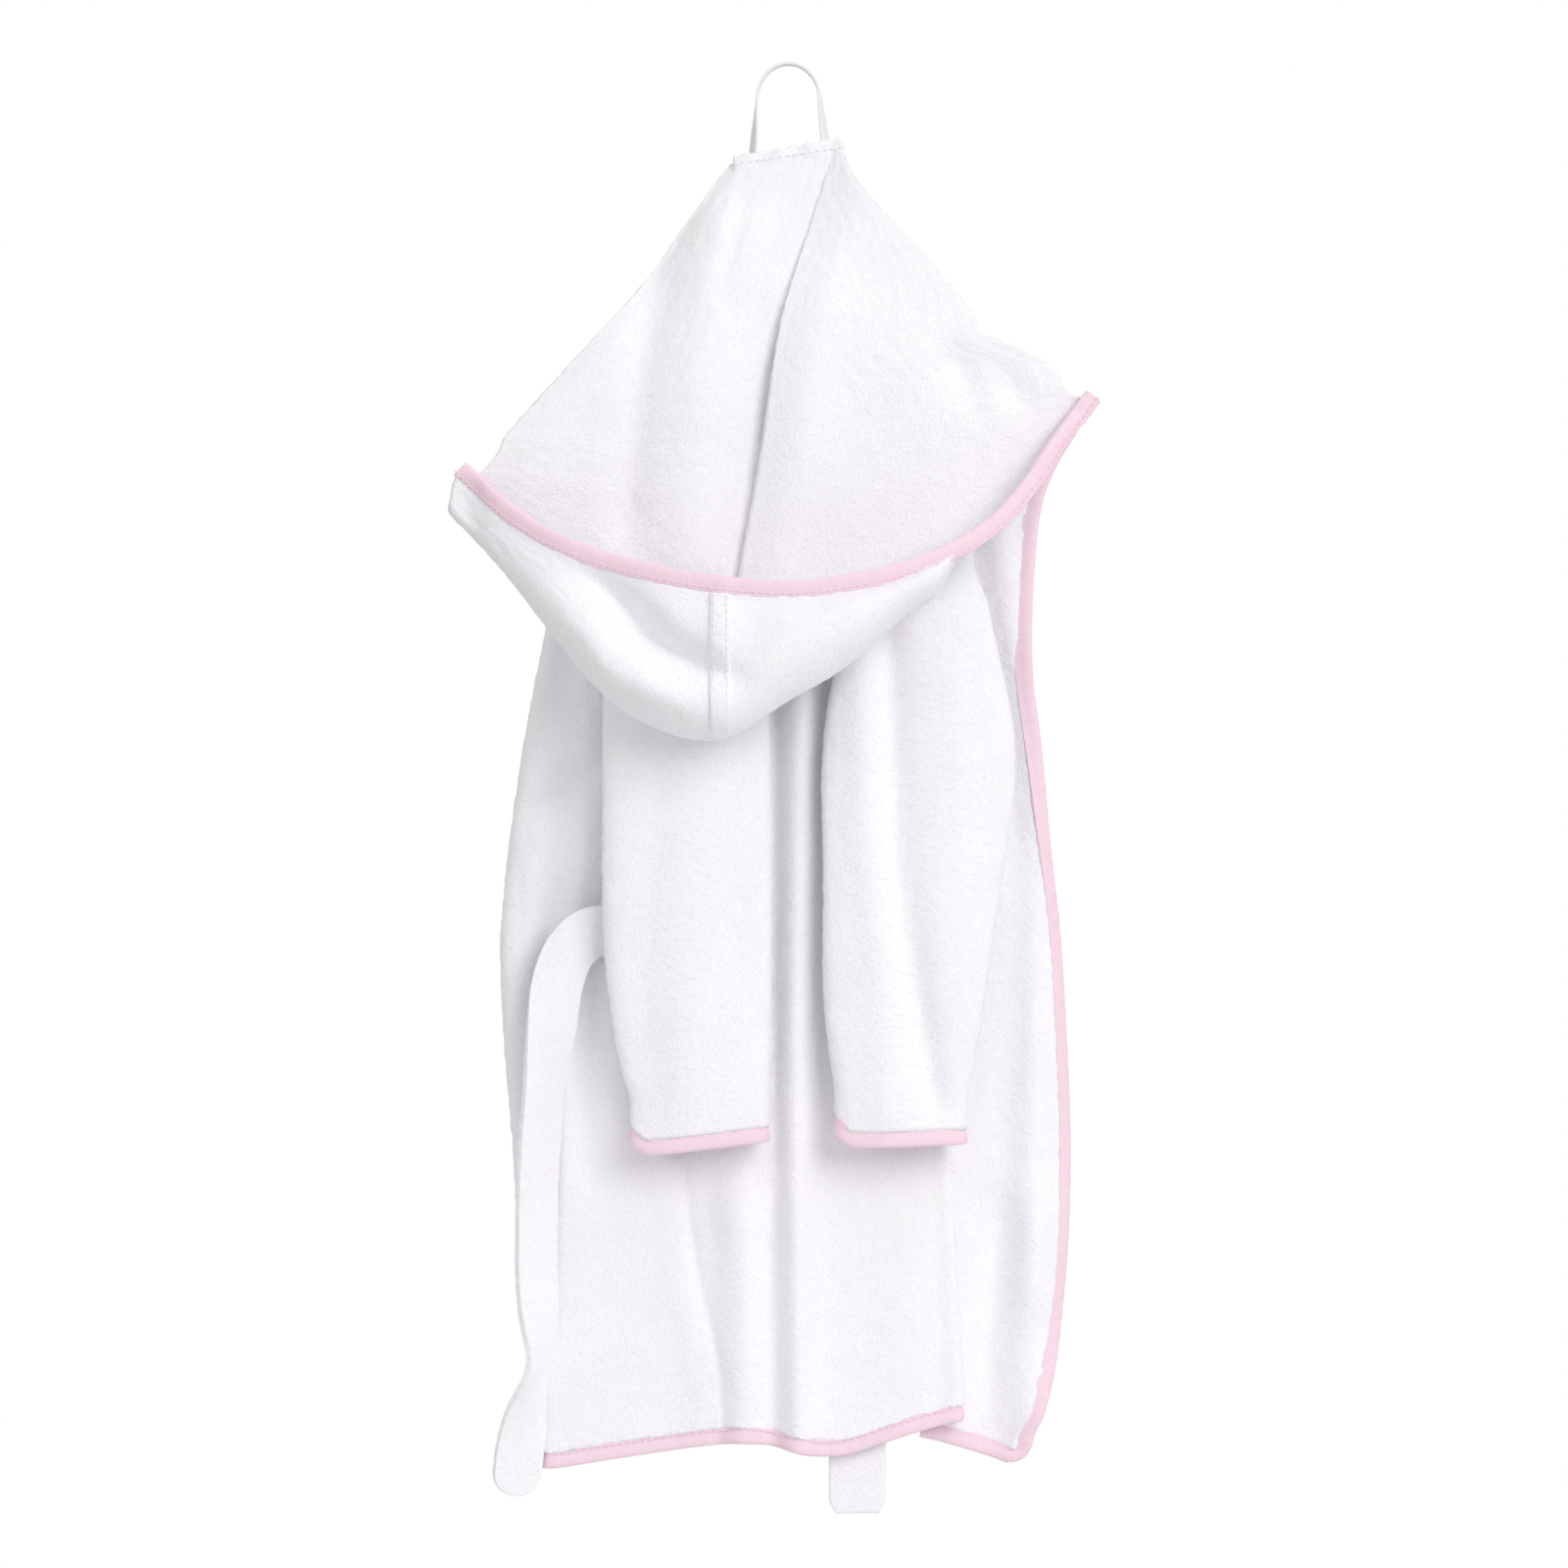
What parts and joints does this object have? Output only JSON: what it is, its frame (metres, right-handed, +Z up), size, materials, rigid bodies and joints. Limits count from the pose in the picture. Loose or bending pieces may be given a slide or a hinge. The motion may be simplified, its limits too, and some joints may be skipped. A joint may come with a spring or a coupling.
{
  "type": "hooded terry baby robe",
  "caption": "Hooded terry baby robe with long sleeves, an open front, contrast bias binding and a tie belt, hanging by its nape loop with the hood down over the back.",
  "frame": {"origin": "the point inside the hanger loop's top where it bears on a peg", "axes": "+Z up, +X to the right of someone who looks at the garment's back, -Y towards that person, +Y towards the wall"},
  "size_m": [0.285, 0.0943, 0.6532],
  "materials": {
    "terry": "white cotton terry, loop pile",
    "binding": "pale pink jersey bias binding, edge-stitched",
    "tape": "white woven twill tape"
  },
  "bodies": {
    "body": {"hanger_loop": "tape", "neck_seam": "terry", "hood_left_nape": "terry", "hood_right_nape": "terry", "back_panel": "terry", "back_hem_binding": "binding"},
    "hood": {"hood_left_crown": "terry", "hood_right_crown": "terry", "hood_centre_seam": "terry", "hood_binding": "binding"},
    "left_arm": {"left_sleeve": "terry", "left_cuff_binding": "binding"},
    "right_arm": {"right_sleeve": "terry", "right_cuff_binding": "binding"},
    "left_front": {"left_front_panel": "terry", "left_front_binding": "binding", "left_front_hem_binding": "binding"},
    "right_front": {"right_front_panel": "terry", "right_front_binding": "binding", "right_front_hem_binding": "binding"},
    "left_belt": {"left_tie": "terry"},
    "right_belt": {"right_tie": "terry"}
  },
  "joints": [
    {"name": "hood_lift", "type": "hinge", "parent": "body", "child": "hood", "pos_m": [0, -0.0262, -0.15727], "axis": [-0.9912, 0, -0.1322], "range_deg": [0, 100]},
    {"name": "left_sleeve_swing", "type": "hinge", "parent": "body", "child": "left_arm", "pos_m": [-0.036, -0.0153, -0.236], "axis": [0, 1, 0], "range_deg": [0, 75]},
    {"name": "right_sleeve_swing", "type": "hinge", "parent": "body", "child": "right_arm", "pos_m": [0.048, -0.0153, -0.236], "axis": [0, -1, 0], "range_deg": [0, 75]},
    {"name": "left_front_close", "type": "hinge", "parent": "body", "child": "left_front", "pos_m": [-0.066, 0.011, -0.04], "axis": [0, 0, -1], "range_deg": [0, 150]},
    {"name": "right_front_close", "type": "hinge", "parent": "body", "child": "right_front", "pos_m": [0.066, 0.011, -0.04], "axis": [0, 0, 1], "range_deg": [0, 150]},
    {"name": "left_tie_swing", "type": "hinge", "parent": "body", "child": "left_belt", "pos_m": [-0.066, -0.0047, -0.392], "axis": [0, 1, 0], "range_deg": [0, 60]},
    {"name": "right_tie_swing", "type": "hinge", "parent": "body", "child": "right_belt", "pos_m": [0.0325, 0.0043, -0.392], "axis": [0, 1, 0], "range_deg": [-15, 15]}
  ]
}
